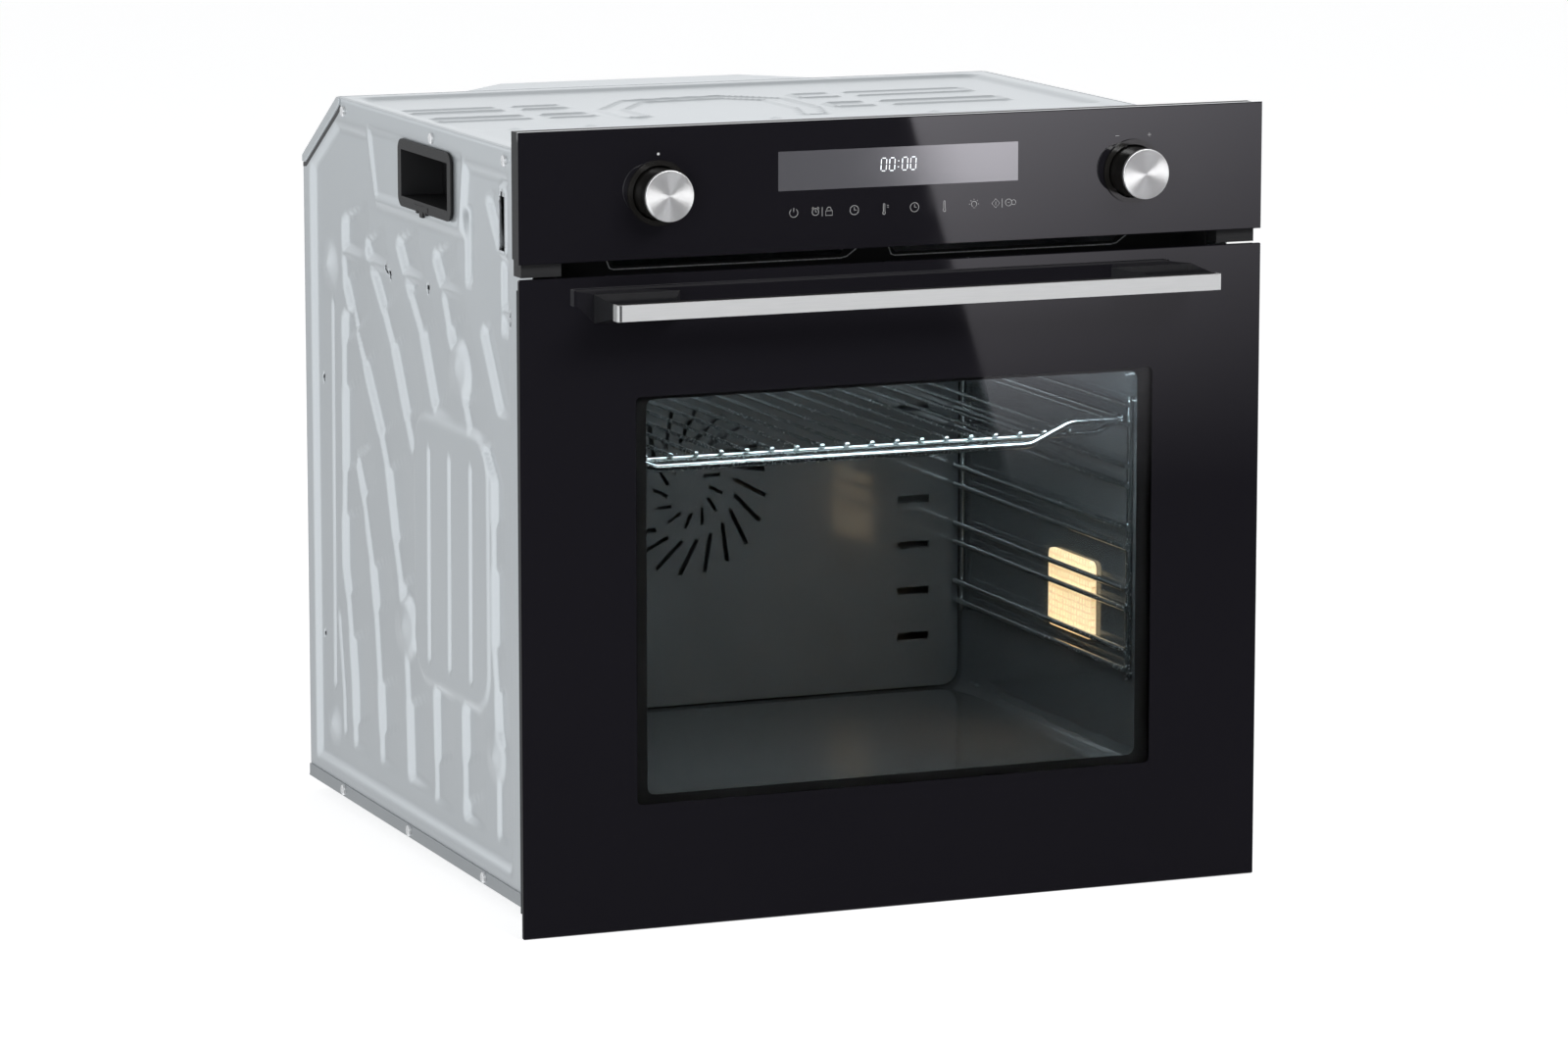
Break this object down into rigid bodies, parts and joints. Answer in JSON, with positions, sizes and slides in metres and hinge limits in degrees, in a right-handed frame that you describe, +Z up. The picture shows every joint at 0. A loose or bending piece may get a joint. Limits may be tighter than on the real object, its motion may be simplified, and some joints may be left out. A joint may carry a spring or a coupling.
{
  "type": "built-in electric wall oven",
  "caption": "Built-in single wall oven: black glass drop-down door with bar handle, control panel with two retractable knobs and clock display, galvanised steel case.",
  "frame": {"origin": "centre of the underside of the oven's base, which rests on the cabinet shelf; the door hangs 12 mm below it in front", "axes": "+X to the right of someone facing the door, +Y to the rear, +Z up"},
  "size_m": [0.595, 0.617, 0.595],
  "materials": {
    "zinc_sheet": "satin galvanised sheet",
    "dark_enamel": "glossy vitreous enamel",
    "black_glass": "polished, printed black behind",
    "clear_glass": "polished",
    "lens_glass": "patterned",
    "brushed_aluminium": "brushed along its length",
    "spun_aluminium": "spun",
    "bezel_black": "dark, half gloss",
    "dark_grey_plastic": "fine texture",
    "black_plastic": "matt",
    "grey_plastic": "matt",
    "black_steel": "matt black paint",
    "screw_steel": "zinc plated",
    "heater_steel": "dark oxide",
    "fan_steel": "satin",
    "wire_chrome": "bright",
    "seal_rubber": "matt",
    "mineral_wool": "loose fibre",
    "board_green": "lacquered",
    "display_light": "dark window with lit digits",
    "lamp_glow": "lit"
  },
  "bodies": {
    "oven_body": {"air_outlet": "black_plastic", "back_cover": "zinc_sheet", "base_tray": "zinc_sheet", "blower_housing": "zinc_sheet", "blower_motor": "screw_steel", "body_screws": "screw_steel", "bottom_element": "heater_steel", "cable_gland": "black_plastic", "cavity_back_panel": "dark_enamel", "cavity_liner": "dark_enamel", "control_board": "board_green", "display_module": "display_light", "door_gasket": "seal_rubber", "electronics_deck": "zinc_sheet", "fan_motor": "screw_steel", "front_frame": "dark_enamel", "grill_element": "heater_steel", "grip_recesses": "grey_plastic", "hinge_arms": "screw_steel", "hinge_receivers": "zinc_sheet", "insulation_blanket": "mineral_wool", "knob_wells": "bezel_black", "lamp_bulb": "lamp_glow", "lamp_holder": "zinc_sheet", "lamp_lens": "lens_glass", "panel_carrier": "black_plastic", "panel_glass": "black_glass", "power_board": "board_green", "rear_duct_cover": "zinc_sheet", "ring_element": "heater_steel", "selector_switches": "grey_plastic", "side_panel_left": "zinc_sheet", "side_panel_right": "zinc_sheet", "side_rails": "wire_chrome", "slot_ends": "grey_plastic", "temperature_probe": "heater_steel", "terminal_box": "grey_plastic", "top_cover": "zinc_sheet"},
    "door": {"outer_glass": "black_glass", "middle_glass": "clear_glass", "inner_glass": "clear_glass", "door_foot_rail": "black_plastic", "door_head_rail": "black_plastic", "door_side_left": "black_steel", "door_side_right": "black_steel", "hinge_links": "screw_steel", "hinge_springs": "screw_steel", "handle_bar": "black_steel", "handle_facing": "brushed_aluminium", "handle_feet": "dark_grey_plastic", "handle_screws": "screw_steel"},
    "wire_shelf": {"wire_shelf": "wire_chrome"},
    "convection_fan": {"convection_fan": "fan_steel"},
    "blower_wheel": {"blower_wheel": "fan_steel"},
    "knob_shaft_left": {"selector_shaft_left": "screw_steel"},
    "knob_shaft_right": {"selector_shaft_right": "screw_steel"},
    "knob_left": {"knob_skirt_left": "bezel_black", "knob_cap_left": "spun_aluminium"},
    "knob_right": {"knob_skirt_right": "bezel_black", "knob_cap_right": "spun_aluminium"}
  },
  "joints": [
    {"name": "door_hinge", "type": "hinge", "parent": "oven_body", "child": "door", "pos_m": [0, -0.2855, -0.001], "axis": [1, 0, 0], "range_deg": [0, 90], "stiffness_Nm_per_rad": 8, "springref_deg": -11.46},
    {"name": "wire_shelf_slide", "type": "slide", "parent": "oven_body", "child": "wire_shelf", "axis": [0, -1, 0], "range_m": [0, 0.06]},
    {"name": "convection_fan_spin", "type": "hinge", "parent": "oven_body", "child": "convection_fan", "pos_m": [0, 0.1575, 0.2375], "axis": [0, 1, 0], "continuous": true},
    {"name": "blower_spin", "type": "hinge", "parent": "oven_body", "child": "blower_wheel", "pos_m": [0, 0.0275, 0.486], "axis": [1, 0, 0], "continuous": true},
    {"name": "knob_left_turn", "type": "hinge", "parent": "oven_body", "child": "knob_shaft_left", "pos_m": [-0.19, -0.2725, 0.535], "axis": [0, 1, 0], "continuous": true},
    {"name": "knob_left_push", "type": "slide", "parent": "knob_shaft_left", "child": "knob_left", "axis": [0, 1, 0], "range_m": [0, 0.02]},
    {"name": "knob_right_turn", "type": "hinge", "parent": "oven_body", "child": "knob_shaft_right", "pos_m": [0.19, -0.2725, 0.535], "axis": [0, 1, 0], "continuous": true},
    {"name": "knob_right_push", "type": "slide", "parent": "knob_shaft_right", "child": "knob_right", "axis": [0, 1, 0], "range_m": [0, 0.02]}
  ]
}
